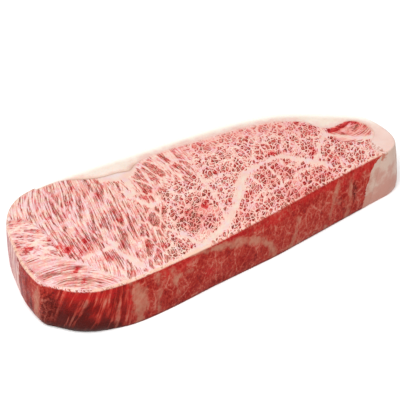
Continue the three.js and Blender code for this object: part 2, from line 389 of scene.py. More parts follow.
# %% Fat seams on the cut face: x, y, width
FAT_SEAMS = {
    "main": [
        (-46, -51.5, 5.5), (-35, -49, 6), (-26, -46.5, 5), (-19, -44.5, 5), (-10, -41, 5),
        (-4, -35.5, 5), (4.5, -30, 5), (12, -22, 5.5), (19, -15, 6), (23.5, -11, 6), (28, -9, 5),
        (36, -8, 3.5), (43, -7.5, 3.2), (47.5, -7, 3.4),
    ],
    "right branch": [
        (47.5, -7, 3.4), (52, -8.5, 3.6), (57, -13, 4), (61, -18.5, 4), (65.5, -24, 5.5),
        (69.5, -28, 4), (72, -35, 2.5),
    ],
    "right rise": [
        (67, -25.5, 4.4), (74.5, -20, 3.2), (79, -14.5, 2.8), (84, -10, 3), (88.7, -7, 3),
        (91, -1, 3),
    ],
    "under end muscle": [
        (88.7, -7.5, 3), (96.5, -14.5, 2.6), (101.5, -20, 3), (106, -23, 4), (113, -27, 5),
    ],
    "thread over main": [(43, -7, 1.5), (38, -1.6, 1.6), (41.7, 3, 1.6), (44, 5.5, 1.3)],
    "upright thread": [
        (-1.7, 27, 1.4), (-0.2, 13.7, 2), (1.2, 3.3, 2.2), (-0.6, -11.7, 2), (-5.3, -30.5, 2.4),
        (-8.5, -40, 2.6),
    ],
    "lobule far left": [(28, -9, 1.6), (27, -18, 1.4), (28, -28, 1.2)],
    "lobule middle": [(40, -10, 1.6), (40.5, -19, 1.4), (38.5, -29, 1.4), (33, -33, 1.2)],
    "lobule far right": [(50.5, -9, 1.4), (50.5, -17, 1.2), (53.5, -27, 1.4), (50, -33, 1.2)],
    "lobule foot": [(22, -29, 1.2), (30, -32, 1.4), (40, -30, 1.2), (53, -28, 1.4), (64, -28, 1.6)],
    "under small lobules": [(52, 8, 1.2), (56, 11, 1.2), (62, 9, 1.2), (65, 3, 1.2), (60, -1, 1.2)],
    "lobule left": [(1, -4, 1.6), (1, -12, 1.6), (3, -18, 1.6), (9, -21, 1.6)],
    "lobule top": [(1, -4, 1.8), (8, -1.5, 2.2), (15, -4, 2.2), (19, -9, 2)],
    "near left": [(-41.7, -24.5, 1.8), (-38, -31, 3), (-35.5, -38, 3.4), (-34, -46, 3)],
    "tail muscle": [
        (-126, 1, 1.4), (-121, 1, 1.4), (-115, -3, 1.6), (-107, -9.5, 2), (-101, -16, 2.2),
        (-96.5, -24, 2.2), (-92.5, -32, 2), (-88, -41, 1.8), (-83, -48, 1.8),
    ],
    "left band": [(-94, -19, 2.2), (-83, -20, 2.6), (-74, -20, 3.4)],
    "left rise": [(-76, -4, 1.4), (-75, -12, 2), (-74, -18, 4.5)],
    "left fall": [(-75, -21, 2.6), (-75, -28, 2.4), (-73, -35, 4.4), (-69, -47, 3)],
    "middle pale": [
        (-43, 20, 1.8), (-43.5, 13, 3.6), (-41, 6, 2.4), (-37.5, -2.5, 3.2), (-32, -1, 1.6),
        (-29, 3, 1),
    ],
    "notch wedge": [(-49, 35, 5), (-41, 32, 9), (-33, 30.5, 8), (-28, 33, 5)],
    "notch tail": [(-37, 29, 7), (-37.5, 23, 4.5), (-38, 16, 2.5), (-42, 12, 4)],
}


def distance_to_lines(points, lines):
    """For each point the least of: distance to a straight piece of a line, less half the width
    there. The point is dropped on to the piece, and the drop is held between its two ends."""
    best = np.full(len(points), 1e3)
    for line in lines:
        for start, end in zip(line[:-1], line[1:]):
            step = end - start
            t = np.clip((points - start[:2]) @ step[:2] / (step[:2] @ step[:2]), 0, 1)
            gap = np.hypot(*(points - start[:2] - t[:, None] * step[:2]).T)
            best = np.minimum(best, gap - (start[2] + t * step[2]) / 2)
    return best


def hairline(line):
    """The same line with a width of nothing."""
    return np.column_stack([line, np.zeros(len(line))])


fat_seam_lines = [smooth_curve(points, steps=5) for points in FAT_SEAMS.values()]
straight_pieces = sum(len(line) - 1 for line in fat_seam_lines)
print(len(fat_seam_lines), "fat seams,", straight_pieces, "straight pieces")

# %% [markdown]
# Flushes
#
# Meat isn't one red. Some bundles are nearly free of fat and show deep red, and elsewhere the fat
# has swallowed the lean. Each of these places is a soft round spot with a strength: plus is
# redder, minus is paler. Broader parts of the muscle, a few centimetres across, hold more or less
# fat in the same way. Noise alone would give such spots too, but in other places than on this
# steak.

# %% Red and pale places on the cut face: x, y, radius, strength
FLUSHES = np.array([
    (-12, -21, 2.8, 1.1), (-9, -17.5, 2, 0.9), (-23.5, -19.5, 2.2, 0.9), (82.5, 14, 3, 1.0),
    (83, 9, 3, 0.5), (84, 0, 5, 0.5), (88, 4, 3, 0.4), (-101.5, -2.5, 2.6, 1.0),
    (-97, -7.5, 3.4, 1.0), (-100, -8.5, 2.6, 0.8), (-94, -14, 3, 0.7), (-36, 5, 3.6, 0.7),
    (-34, 11, 3.4, 0.5), (-88, -26.5, 3, 0.45), (-82, -27.5, 3, 0.45), (-87, -8, 4, 0.4),
    (72, -17, 3.4, 0.7), (74, -13, 3, 0.5), (69.5, -21, 2.4, 0.7), (15, -27, 3.6, 0.8),
    (-43, -36, 3, 0.5), (-38, -44, 3.6, 0.7), (80, -29, 4, 0.7), (90, -15, 2.6, 0.6),
    (94, -24, 2, 0.7), (11.5, 1.5, 1.7, 1.0), (-59, 25, 3, 0.6), (-72, -23, 2.8, 0.5),
    (-56, 4, 3.4, 0.5), (-68, 38, 3.4, 0.6), (45, 25, 3, 0.5), (21, 29, 6, 0.35), (52, 6, 3, 0.5),
    (66, -39, 4, 0.6), (43, -46, 5, 0.6), (51, -46, 4, 0.5), (-116.2, 7, 2.4, 1.0),
    (-114.5, 4.5, 2.0, 0.9), (-108.2, 30.1, 2.2, 1.0), (-104.6, 15.7, 2.4, 0.9),
    (-118, 16, 1.8, 0.6), (-120, 11.4, 1.8, 0.8), (-103.4, 5.3, 2.8, 0.7), (-93, 22.5, 1.6, 0.9),
    (-86, -6, 3, 0.6), (-84.8, -25.3, 2.2, 0.4), (-80.2, -26.5, 2.2, 0.4), (41, -2, 2, 0.9),
    (50, -2.5, 2.4, 0.9), (51.5, -4.5, 1.6, 0.8), (-96, 19.5, 3, 0.5), (-85, 18, 2.4, 0.5),
    (-24, 7, 3, 0.4), (-58, -5, 3.6, 0.4), (18, -1, 2.4, 0.6), (-79, -3, 4, -0.5),
    (-98, 38, 5, -0.6), (-79, 45, 6, -0.5), (-73, 5, 4, -0.4), (-101, 46, 5, -0.4),
    (-104, 20, 4, -0.4), (-60, -49, 5, -0.4), (-80, -44, 6, -0.4), (6, 20, 4, -0.3),
    (-18, 8, 3, -0.3), (94, -6, 2.4, 1.3), (97, -6.8, 2.2, 1.2), (100, -7.2, 2.0, 1.0),
    (103.5, -6.4, 2.0, 1.0), (107, -5.4, 2.2, 1.0), (110.5, -5.5, 2.4, 0.9),
    (-103.5, -25.5, 1.8, 1.2), (-101, -24, 1.6, 1.0), (-105, -36, 1.6, 0.9), (-103, -34, 1.4, 0.8),
    (-88, -14, 3.4, 0.6), (-58, -30, 3.4, 0.6), (-52, -36, 3, 0.6), (-64, 8, 2.6, 0.6),
    (-61, -2, 2.6, 0.6), (-76, 28, 2.4, 0.6), (113, -8.5, 2.6, 0.7), (114, -12.5, 2.6, 0.4),
    (112, -16, 3, 0.3), (30, -3, 3.4, -0.4), (86, -20, 4, -0.3), (100, -33, 6, -0.3),
    (-90, 48, 7, -0.3), (-113, -40, 6, -0.3),
])


# Broad parts that hold more lean or more fat: x, y, radius, strength
PARTS = np.array([
    (-42, -4, 13, 0.04), (-22, -27, 13, 0.22), (2, -38, 10, 0.12), (46, -15, 15, 0.14),
    (38, -40, 16, 0.13), (64, -36, 12, 0.08), (80, -27, 12, 0.04), (76, 6, 14, 0.06),
    (-110, 22, 15, -0.08), (-104, 6, 9, -0.05), (-100, 42, 12, -0.05), (-112, -28, 12, 0.02),
    (-84, -10, 12, 0.04), (-62, -22, 12, 0.03),
])


def spots(points, places, reach, strength):
    """The sum over all spots of strength x e^-(distance / reach)^2, with a reach for each way."""
    apart = (points[:, None, :] - places[None]) / reach[None]
    return (strength * np.exp(-(apart**2).sum(axis=2))).sum(axis=1)


def flush_at(points):
    return spots(points, FLUSHES[:, :2], FLUSHES[:, 2:3], FLUSHES[:, 3])


deepest = flush_at(np.array([[-12.0, -21.0]]))[0]
print(f"{len(FLUSHES)} flushes; strength of the one beside the main seam: {deepest:.2f}")

# %% [markdown]
# Which way the fibres run
#
# On the broad half the muscle's fibres lie nearly in the cut face, all at one slant, and the
# marbling is long streaks. Past the middle they curve, upright beside the back fat and leaning
# over towards the near side, and the marbling breaks up into small cells, because the knife meets
# the fibres end on. Two small muscles, and the short bundles at the broad end's corner, run in
# arcs of their own. All of this goes into one set of coordinates, along, across and down the
# fibres, which the mesh keeps: a fibre is a line of equal "across". The walls have a second set,
# because there the fibres run down.

# %% Grain coordinates and zones
TAIL_CENTRE = np.array([-123.0, -60.0])
END_CENTRE = np.array([106.0, -1.0])
CORNER_CENTRE = np.array([-142.0, -30.0])
LEAN_DOWN = np.array([0.5, -0.85])  # how far the pattern moves for each millimetre of depth


def fibre_shift(x, y):
    """How far sideways a fibre has come at y. On the broad half it is a straight slant, which
    turns into a slight S near the end. Past the middle it is the sum of a slant and of a bend,
    whose slope is a tanh and whose sum is log cosh."""
    near_end = fall(x, -86, -70)
    straight = 0.29 * y * (1 - near_end) + (0.12 * y + 0.00007 * y**3) * near_end
    bent = 0.25 * y - 3.6 * np.log(np.cosh((y - 2) / 12))
    share = smoothstep(x, -55, -26)
    return straight * (1 - share) + bent * share


def around(points, centre):
    """Distance from a centre, and the angle about it."""
    away = points - centre
    return np.hypot(*away.T), np.arctan2(away[:, 0], -away[:, 1])


def tail_muscle(points):
    """True on the near side of the tail muscle's boundary line."""
    line = smooth_curve([p[:2] for p in FAT_SEAMS["tail muscle"]], steps=5)
    return (points[:, 1] < np.interp(points[:, 0], line[:, 0], line[:, 1])) & (points[:, 0] < -83)


def in_ellipse(points, middle, radii):
    return (((points - middle) / radii) ** 2).sum(axis=1) < 1


def corner_bundles(points):
    """True at the broad end above the tail muscle, where short bundles lie across the others."""
    return in_ellipse(points, (-116, 9), (15, 25)) & ~tail_muscle(points)


def end_muscle(points):
    """True within the little muscle at the narrow end."""
    return in_ellipse(points, (105, -13), (13.5, 11.5))


# Each arced zone's test, its centre, the radius that turns its angles into lengths, and how much
# finer its fibres are. The offset only keeps its marbling from matching its neighbour's.
ARCED_ZONES = (
    (tail_muscle, TAIL_CENTRE, 40.0, 1.0),
    (end_muscle, END_CENTRE, 20.0, 1.2),
    (corner_bundles, CORNER_CENTRE, 60.0, 1.0),
)
ZONE_OFFSET = 300.0


def face_grain(points, depth):
    """Along is y and across is x less the shift, but in the zones the fibres are arcs about a
    centre, so there along is an arc's length and across is its radius."""
    across = points[:, 0] - fibre_shift(points[:, 0], points[:, 1])
    along = points[:, 1]
    for zone, centre, radius, fineness in ARCED_ZONES:
        inside = zone(points)
        out, turn = around(points, centre)
        along = np.where(inside, turn * radius + ZONE_OFFSET, along)
        across = np.where(inside, out * fineness + ZONE_OFFSET, across)
    return np.stack([along, across, depth], axis=1)


def bell(value, middle, reach):
    """e^-(distance from the middle / reach)^2."""
    return np.exp(-(((value - middle) / reach) ** 2))


def wall_grain(run, depth):
    """On a wall the fibres run down, and lean over near the broad end's corner."""
    slant = 0.10 + 0.32 * bell(run, 24, 22)
    return np.stack([0 * run, run + slant * depth, depth], axis=1)


sample_x, sample_y = np.array([-80.0, -20.0, -20.0]), np.array([0.0, 20.0, -30.0])
slope = (fibre_shift(sample_x, sample_y + 1) - fibre_shift(sample_x, sample_y - 1)) / 2
fibre_angles = np.degrees(np.arctan2(1, slope)).round(0)
print("fibre direction at the broad end, far middle and near middle:", fibre_angles)

# %% [markdown]
# The upper face's height
#
# A long knife leaves low swells in soft meat, and the firm fat stands a hair above the lean that
# dried beside it. Between the lean and the fat, beside the notch, the skin that joins them has
# drawn back into a narrow crease. These are real heights in the mesh, since a bump map can't show
# them from the side.

# %% Height
RELIEF = 0.9
CREASE_DEPTH = 0.7
CREASE_WIDTH = 1.1
FAT_PROUD = 0.12
LOBULE_HEIGHT = 0.22
LOBULE_SIZE = 7.0
rng = np.random.default_rng(7)
LATTICE = rng.random((64, 64))


def lattice_noise(x, y, size):
    """Random numbers on a square lattice, joined by smooth blends between the four nearest."""
    u, v = x / size + 32.0, y / size + 32.0
    i, j = np.floor(u).astype(int), np.floor(v).astype(int)
    s, t = smoothstep(u - i, 0, 1), smoothstep(v - j, 0, 1)
    corner = lambda a, b: LATTICE[(i + a) % 64, (j + b) % 64]
    low = corner(0, 0) * (1 - s) + corner(1, 0) * s
    high = corner(0, 1) * (1 - s) + corner(1, 1) * s
    return low * (1 - t) + high * t


crease_line = seam.line[(seam.line[:, 0] > -72) & (seam.line[:, 0] < -19) & (seam.line[:, 1] > 20)]


def crease_at(x, y):
    """A bell curve of the distance to the seam, faded out towards both ends of the crease."""
    gap = distance_to_lines(np.stack([x, y], axis=1), [hairline(crease_line[::6])])
    faded = smoothstep(x, -68, -58) * fall(x, -26, -18)
    return bell(gap, 0, CREASE_WIDTH) * faded


def face_height(x, y):
    """Swells made of sines, lobules 7 mm across, fat seams stood proud, less the crease."""
    swell = np.sin(x / 31 + 0.6) * np.cos(y / 23 - 0.4)
    ripple = np.sin(x / 12 + y / 17)
    height = THICKNESS - (RELIEF / 2) * (1 + 0.7 * swell + 0.3 * ripple)
    lobules = LOBULE_HEIGHT * (lattice_noise(x, y, LOBULE_SIZE) - 0.75)
    to_fat_seam = distance_to_lines(np.stack([x, y], axis=1), fat_seam_lines)
    seams = FAT_PROUD * fall(to_fat_seam, -0.8, 1.2)
    return height + lobules + seams - FAT_PROUD - CREASE_DEPTH * crease_at(x, y)


middle_height = face_height(np.array([0.0]), np.array([0.0]))[0]
print(f"face height at the middle: {middle_height:.2f} mm")

# %% [markdown]
# One slab builder for both pieces
#
# Both pieces are the same kind of solid: rings of wall from the foot to the rim, a patch on top
# and a patch below. Extruding a flat face would do for the walls, but their rings differ from
# height to height. The builder asks for the four sides at each height, so it works for any such
# slab.

# %% Slab
WALL_HEIGHTS = np.concatenate([
    FOOT_HEIGHT * (1 - np.cos(np.linspace(0, np.pi / 2, 7))) / THICKNESS,
    np.linspace(FOOT_HEIGHT / THICKNESS, 1 - RIM_RADIUS / THICKNESS, 13)[1:-1],
    1 - RIM_RADIUS * (1 - np.sin(np.linspace(0, np.pi / 2, 5))) / THICKNESS,
])


def squares(grid):
    """The four corners of each square of a grid of point numbers."""
    corners = [grid[:-1, :-1], grid[:-1, 1:], grid[1:, 1:], grid[1:, :-1]]
    return np.stack(corners, axis=-1).reshape(-1, 4)


def slab(sides_at, grids):
    """Points and squares of a closed slab. z is the height share times the face's height there."""
    loops = [np.concatenate([side[:-1] for side in sides_at(h)]) for h in WALL_HEIGHTS]
    around_count = len(loops[0])
    rows, columns = grids[0].shape[:2]
    inner = [grid[1:-1, 1:-1].reshape(-1, 2) for grid in grids]
    flat = np.concatenate(loops + inner)
    wall_share = np.repeat(WALL_HEIGHTS, around_count)
    share = np.concatenate([wall_share, np.zeros(len(inner[0])), np.ones(len(inner[1]))])
    points = np.column_stack([flat, share * face_height(*flat.T)])

    ring = np.arange(around_count)
    edge = np.empty((rows, columns), int)
    edge[0, :] = ring[:columns]
    edge[:, -1] = ring[columns - 1 : columns - 1 + rows]
    edge[-1, :] = ring[columns + rows - 2 : 2 * columns + rows - 2][::-1]
    edge[1:, 0] = ring[2 * columns + rows - 3 :][::-1]
    ring_starts = np.arange(len(WALL_HEIGHTS)) * around_count
    faces = [squares(np.column_stack([ring_starts[:, None] + ring, ring_starts]))]
    first_inner = len(WALL_HEIGHTS) * around_count
    for level, ring_start in enumerate(ring_starts[[0, -1]]):
        index = edge + ring_start
        own_inner = first_inner + level * len(inner[0]) + np.arange(len(inner[level]))
        index[1:-1, 1:-1] = own_inner.reshape(rows - 2, columns - 2)
        faces.append(squares(index) if level else squares(index)[:, ::-1])
    return points, np.concatenate(faces), share


def to_mesh(name, points, faces):
    """Millimetres to metres, straight into a new mesh, shaded smooth but for real edges."""
    mesh = bpy.data.meshes.new(name)
    mesh.from_pydata((points * MM).tolist(), [], faces.tolist())
    mesh.validate()
    mesh.shade_smooth()
    mesh.set_sharp_from_angle(angle=np.radians(42))
    piece = bpy.data.objects.new(name, mesh)
    bpy.context.scene.collection.objects.link(piece)
    top = points[:, 2].max()
    print(f"{name}: {len(points)} points, {2 * len(faces)} triangles, top at {top:.2f} mm")
    return piece


def store(piece, name, values):
    """Puts one number or one vector on each point of a piece."""
    kind, field = ("FLOAT", "value") if values.ndim == 1 else ("FLOAT_VECTOR", "vector")
    layer = piece.data.attributes.new(name, kind, "POINT")
    layer.data.foreach_set(field, np.ascontiguousarray(values, dtype=np.float32).ravel())


# %% Both meshes
lean_points, lean_faces, lean_share = slab(lean_sides, lean_patches)
lean = to_mesh("marbled_lean_slab", lean_points, lean_faces)
fat_points, fat_faces, fat_share = slab(cap_sides, cap_patches)
back_fat = to_mesh("back_fat_slab", fat_points, fat_faces)

# %% [markdown]
# What each point of the lean knows
# The material will need to know, at every point, how far the nearest fat seam is, which way the
# fibres run, how broken up the marbling is, and how red it is. The marbling goes on down into the
# meat at a slant, so points below the face look up their values further along. The walls were cut
# along the muscle and show other things: bands and threads of fat that run down, a bright red
# strip under the rim, a foot darkened with painted shade, the lilac sheath on the broad end, and
# the sawn fat at the narrow one, also darkened with painted shade. Painting all this by hand would
# also work, but the numbers can be compared with a photograph.

# %% Seams that show on the near wall: millimetres along it from the left corner, height, width
WALL_SEAMS = {
    "left corner": [(3.2, 34, 3.2), (1.5, 20, 3.6), (-1.5, 3, 4), (-2, 0, 4)],
    "broad band": [(61.5, 30, 4), (62.5, 25, 7), (63, 14, 8), (62, 4, 6), (61, 0, 5)],
    "narrow band": [(76.5, 34, 1.4), (76, 24, 2.4), (75, 12, 2.6), (74, 0, 2.4)],
    "branching thread": [(84, 32, 1), (86, 22, 1.8), (88.5, 10, 1.6), (87, 0, 1.2)],
    "branch of it": [(86.5, 20, 1.2), (92, 23, 1.1), (98, 22, 0.8)],
    "main seam going down": [
        (107, 33, 6), (121, 29, 6), (135, 24, 5.6), (146, 19.5, 5), (153, 13, 4.4), (157, 6, 4),
        (158, 0, 4),
    ],
    "foot thread": [(155, 5, 1.5), (165, 2.5, 2.2), (181, 2, 1.6), (193, 4, 1)],
    "middle thread": [(172, 4, 1), (175, 14, 1.4), (177, 20, 1)],
    "right fork": [(199, 2, 1.8), (203, 12, 2.6), (208, 22, 2.2), (212, 32, 1.2)],
    "right cross": [(206, 18, 1.4), (213, 15, 1.6), (218, 14, 1.2)],
    "right upright": [(216, 0, 2.2), (218, 12, 3), (220, 22, 2.6), (223, 30, 1.4)],
}
wall_seam_lines = [smooth_curve(points, steps=5) for points in WALL_SEAMS.values()]

# %% Red and dark places on the walls: along, height, reach along, reach down, strength
WALL_FLUSHES = np.array([
    (30, 29, 12, 2.6, 0.6), (46, 22, 3, 9, 0.5), (56.5, 20, 1.8, 10, 0.8), (70, 10, 3, 8, 0.3),
    (82, 26, 5, 5, 0.5), (92, 28, 10, 4, 0.8), (110, 15, 5, 4, 0.9), (126, 31, 10, 3.5, 0.9),
    (126, 12, 8, 3, 0.5), (96, 8, 5, 4, 0.3), (138, 9, 5, 4, 0.5), (166, 27, 12, 4, 0.6),
    (186, 30, 9, 3, 0.8), (204, 30, 6, 3, 0.7), (214, 24, 3, 6, 0.5), (236, 29, 4, 4, 1.2),
    (226, 28, 3, 4, 1.0), (229, 12, 2, 10, 0.5), (208, 6, 3, 5, 0.5),
])
# The dark places low at the foot are painted shade; those higher up darken the wall towards a deep,
# near-black crimson.
WALL_SHADES = np.array([
    (10, 15, 6, 13, 1.2), (24, 10, 9, 9, 0.95), (31, 22, 3, 8, 0.6), (22, 2, 17, 7, 1.9),
    (42, 3, 12, 4, 1.0), (-12, 15, 8, 20, 0.35), (-6, 10, 2, 9, 0.5), (49, 18, 2.6, 12, 0.5),
    (42, 8, 3, 6, 0.5), (88, 4, 8, 4, 0.35), (120, 4, 14, 4, 0.3), (140, 5, 8, 4, 0.3),
    (223, 18, 2.2, 9, 0.8), (214, 8, 2.4, 7, 0.4), (196, 20, 3, 7, 0.3), (228, 4, 3, 4, 0.4),
])


def wall_spots(run, height, table):
    return spots(np.stack([run, height], axis=1), table[:, :2], table[:, 2:4], table[:, 4])


# %% Where each point of the lean lies
x, y, z = lean_points.T
depth = face_height(x, y) - z
below = smoothstep(depth, 0.2, 1.6)
on_wall = (lean_share > 0) & (lean_share < 1)
on_rings = np.arange(len(x)) < len(WALL_HEIGHTS) * count_round(lean_sides(1.0))
shifted = np.stack([x, y], axis=1) - LEAN_DOWN * depth[:, None]
# run is the way along the outline from the near left corner, and less than 0 on the broad end
share_round = np.zeros(len(x))
share_round[on_rings] = outline.nearest(lean_points[on_rings, :2])
run = ((share_round + 0.4) % 1 - 0.4) * outline.length
print(f"the walls run from {run[on_wall].min():.1f} to {run[on_wall].max():.1f} mm")

# %% Distance to the nearest fat seam, and to the creamy edge of the near rim
RIM_FAT_WIDTH = 5.2
RIM_FAT_END = np.array([[-16.0, -52.0]])
rim_shares = np.linspace(0, outline.nearest(RIM_FAT_END)[0], 60)
rim_line = outline.place(rim_shares)
fade = fall(rim_shares, rim_shares[-1] * 0.75, rim_shares[-1])
rim_width = RIM_FAT_WIDTH * fade * smoothstep(rim_shares, 0, 0.01)
to_rim_fat = distance_to_lines(lean_points[:, :2], [np.column_stack([rim_line, rim_width])])
to_rim = distance_to_lines(lean_points[:, :2], [hairline(rim_line)])
beside_rim = smoothstep(-to_rim_fat - to_rim, 0, 2)
down_the_wall = 0.4 + 1.6 * (depth - 0.9) + 12 * (1 - beside_rim)
rim_fat = np.where(on_wall, down_the_wall, np.where(lean_share == 0, 20, to_rim_fat))
face_mm = np.minimum(distance_to_lines(shifted, fat_seam_lines), rim_fat)
running_over = face_mm + 20 * smoothstep(depth, 1.0, 3.0)
wall_mm = distance_to_lines(np.stack([run, z], axis=1), wall_seam_lines)
wall_mm = wall_mm + 6 * fall(depth, 0.8, 2.0)
seam_mm = np.where(on_wall, np.minimum(wall_mm, running_over), face_mm)
print(f"share of the upper face within fat seams: {(seam_mm[lean_share == 1] < 0).mean():.3f}")

# %% Distance to the other piece
def to_seam(points, share, side):
    """Ring by ring, because the seam lies a little differently at each height."""
    gap = np.zeros(len(points))
    for height in np.unique(share):
        ring = share == height
        line = hairline(seam_line(np.linspace(0, 1, 70), height, side))
        gap[ring] = distance_to_lines(points[ring, :2], [line])
    return gap


lean_to_fat = to_seam(lean_points, lean_share, -1)
fat_to_lean = to_seam(fat_points, fat_share, 1)
print(f"the back fat reaches {fat_to_lean.max():.1f} mm from the lean")

# %% How broken up the marbling is
sx, sy = shifted.T
in_tail = tail_muscle(shifted) & ~on_wall
in_end = end_muscle(shifted) & ~on_wall
in_corner = corner_bundles(shifted) & ~on_wall
arced = in_tail | in_end
past_streaks = sx - 0.6 * np.minimum(sy, 0)  # the border between streaks and cells lies aslant
far_band = smoothstep(sy, 0, 14)
lobed = smoothstep(past_streaks, -33, -21) * (1 - far_band * fall(sx, -6, 22))
lobed = np.where(on_wall, 1.0, lobed * ~arced)
short = np.maximum(smoothstep(sx, -42, -26) * far_band, smoothstep(past_streaks, -50, -40))
short = np.maximum(short * ~arced * ~on_wall, in_corner)
along_cap = smoothstep(x, -8, 14) * fall(x, 74, 84)
narrow_end = smoothstep(x, 88, 98) * fall(y, -30, -22)
notch = smoothstep(x, -52, -30) * fall(x, -14, 6)
soft = fall(lean_to_fat, 5, 20) * along_cap + fall(lean_to_fat, 0, 6) * narrow_end
blush_reach = 1.0 + 1.6 * along_cap + 1.6 * notch + 0.6 * narrow_end
blush = fall(lean_to_fat, 0, blush_reach) * (depth < 0.6)
print(f"share of cells on the lean: {lobed.mean():.2f}")

# %% What shows on the walls alone
streaky = smoothstep(run, 9, 18) * fall(run, 54, 64) + 0.7 * fall(run, -6, -2)
sheath = fall(run, -26, -17)
fat_starts = np.interp(z, [4, 16, 25, 30, 33], [230, 233, 237, 242, 249])
wall_fat = smoothstep(run, fat_starts - 1.2, fat_starts + 1.2)
uneven = lattice_noise(run, 0 * run, 13.0)
under_rim = smoothstep(depth, 0.3, 1.4) * fall(depth, 1.5 + 4 * uneven, 4 + 7 * uneven) * on_wall
under_rim *= 1 - 0.9 * bell(run, 114, 8) - 0.5 * bell(run, 10, 9)
wall_flush = (0.6 * under_rim + wall_spots(run, z, WALL_FLUSHES)) * below
# Painted shade at the foot: a slight darkening downwards all along, a dark line where the wall
# touches the floor, and a near-black patch at the foot of the broad end's corner.
painted_contact_shadow = fall(z, 0.3, 2.2) * smoothstep(run, 20, 60)
painted_corner_foot_shade = 1.9 * fall(z, 0.5, 9) * bell(run, 24, 19)
foot_shade = 0.15 * smoothstep(depth, 8, 34) + 0.5 * (painted_contact_shadow + painted_corner_foot_shade)
# How pale the cut edge of the rim is, at a few places along it
edge_strength = np.interp(
    run,
    [-40, -20, -4, 2, 32, 38, 100, 122, 230, 240],
    [0.6, 1.0, 1.0, 0.1, 0.1, 0.9, 1.0, 0.25, 0.15, 0.6],
)
print(f"the near wall's fat starts at {fat_starts.min():.0f} to {fat_starts.max():.0f} mm")

# %% All of it, stored on the lean
for name, values in {
    "seam_mm": np.clip(seam_mm, -6, 12),
    "grain": face_grain(shifted, depth),
    "wall_grain": wall_grain(run, depth),
    "lobed": lobed,
    "short": short,
    "corner": in_corner.astype(float),
    "tail": in_tail.astype(float),
    "end_muscle": in_end.astype(float),
    "soft": np.clip(soft, 0, 1),
    "blush": blush,
    "part": spots(shifted, PARTS[:, :2], PARTS[:, 2:3], PARTS[:, 3]),
    "flush": np.clip(np.where(on_wall & (depth > 0.3), wall_flush, flush_at(shifted)), -1, 1.2),
    "wall": np.where(on_wall, smoothstep(depth, 0.1, 1.2), 0),
    "streaky": streaky * on_wall,
    "sheath": sheath * on_wall,
    "wall_fat": wall_fat * on_wall,
    "shade": np.where(on_wall, wall_spots(run, z, WALL_SHADES) * below, 0),
    "foot_shade": np.where(on_wall, foot_shade, 0),
    "edge": on_rings * fall(depth, 0.5, 0.9) * edge_strength,
    # crease also darkens the colour there, as painted shade
    "crease": crease_at(x, y) * (depth < 3),
}.items():
    store(lean, name, values)
print("the lean keeps", len(lean.data.attributes), "attributes")

# %% What each point of the back fat knows
# Where lean, fat and rim meet on the near wall: along, height, reach along, reach down, strength
BLOOD_STAIN = np.array([(248.0, 31.0, 4.0, 3.0, 1.0)])
outer_rim = outline.place(np.linspace(0, 1, 400))
fx, fy, fz = fat_points.T
fat_depth = face_height(fx, fy) - fz
fat_on_wall = (fat_share > 0) & (fat_share < 1)
fat_run = outline.nearest(fat_points[:, :2]) * outline.length
for name, values in {
    "lean_mm": fat_to_lean,
    "outer_mm": distance_to_lines(fat_points[:, :2], [hairline(outer_rim)]),
    "wall": np.where(fat_on_wall, smoothstep(fat_depth, 0.1, 1.2), 0),
    # crease also darkens the colour there, as painted shade
    "crease": crease_at(fx, fy) * (fat_depth < 3),
    "narrow_end": smoothstep(fx, 84, 100) * fall(fy, -24, -4),
    "stain": wall_spots(fat_run, fz, BLOOD_STAIN) * (fat_share > 0.8),
}.items():
    store(back_fat, name, values)
print("back fat points on walls:", int(fat_on_wall.sum()))

# %% [markdown]
# Wiring nodes by hand in a short way
#
# Materials are built in code, and a long list of node and link calls is hard to read. This small
# helper puts a node into a tree and fills its inputs in one call: a number or colour is set on
# the input, and another node's output is linked to it. The shapes of noise and line that the two
# materials use again and again get a name each.

